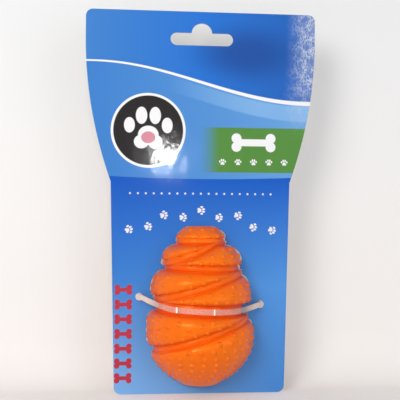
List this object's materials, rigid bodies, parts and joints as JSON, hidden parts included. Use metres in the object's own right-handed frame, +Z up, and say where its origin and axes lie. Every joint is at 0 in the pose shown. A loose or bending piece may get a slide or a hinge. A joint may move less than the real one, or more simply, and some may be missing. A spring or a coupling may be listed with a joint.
{
  "type": "dog toy",
  "caption": "Hollow studded beehive-shaped rubber dog toy set in a die-cut hang card and held there by a nylon cable tie.",
  "frame": {"origin": "centre of the straight part of the hang slot, halfway through the board's thickness", "axes": "+Z up along the card, -Y out of the card's printed front, +X to the right seen from the front"},
  "size_m": [0.1178, 0.055, 0.1945],
  "materials": {
    "toy_body": "glossy moulded natural rubber",
    "hang_card": "gloss-laminated print on white board",
    "cable_tie": "natural nylon, slightly translucent"
  },
  "bodies": {
    "root": {"toy_body": "toy_body", "hang_card": "hang_card", "cable_tie": "cable_tie"}
  },
  "joints": []
}
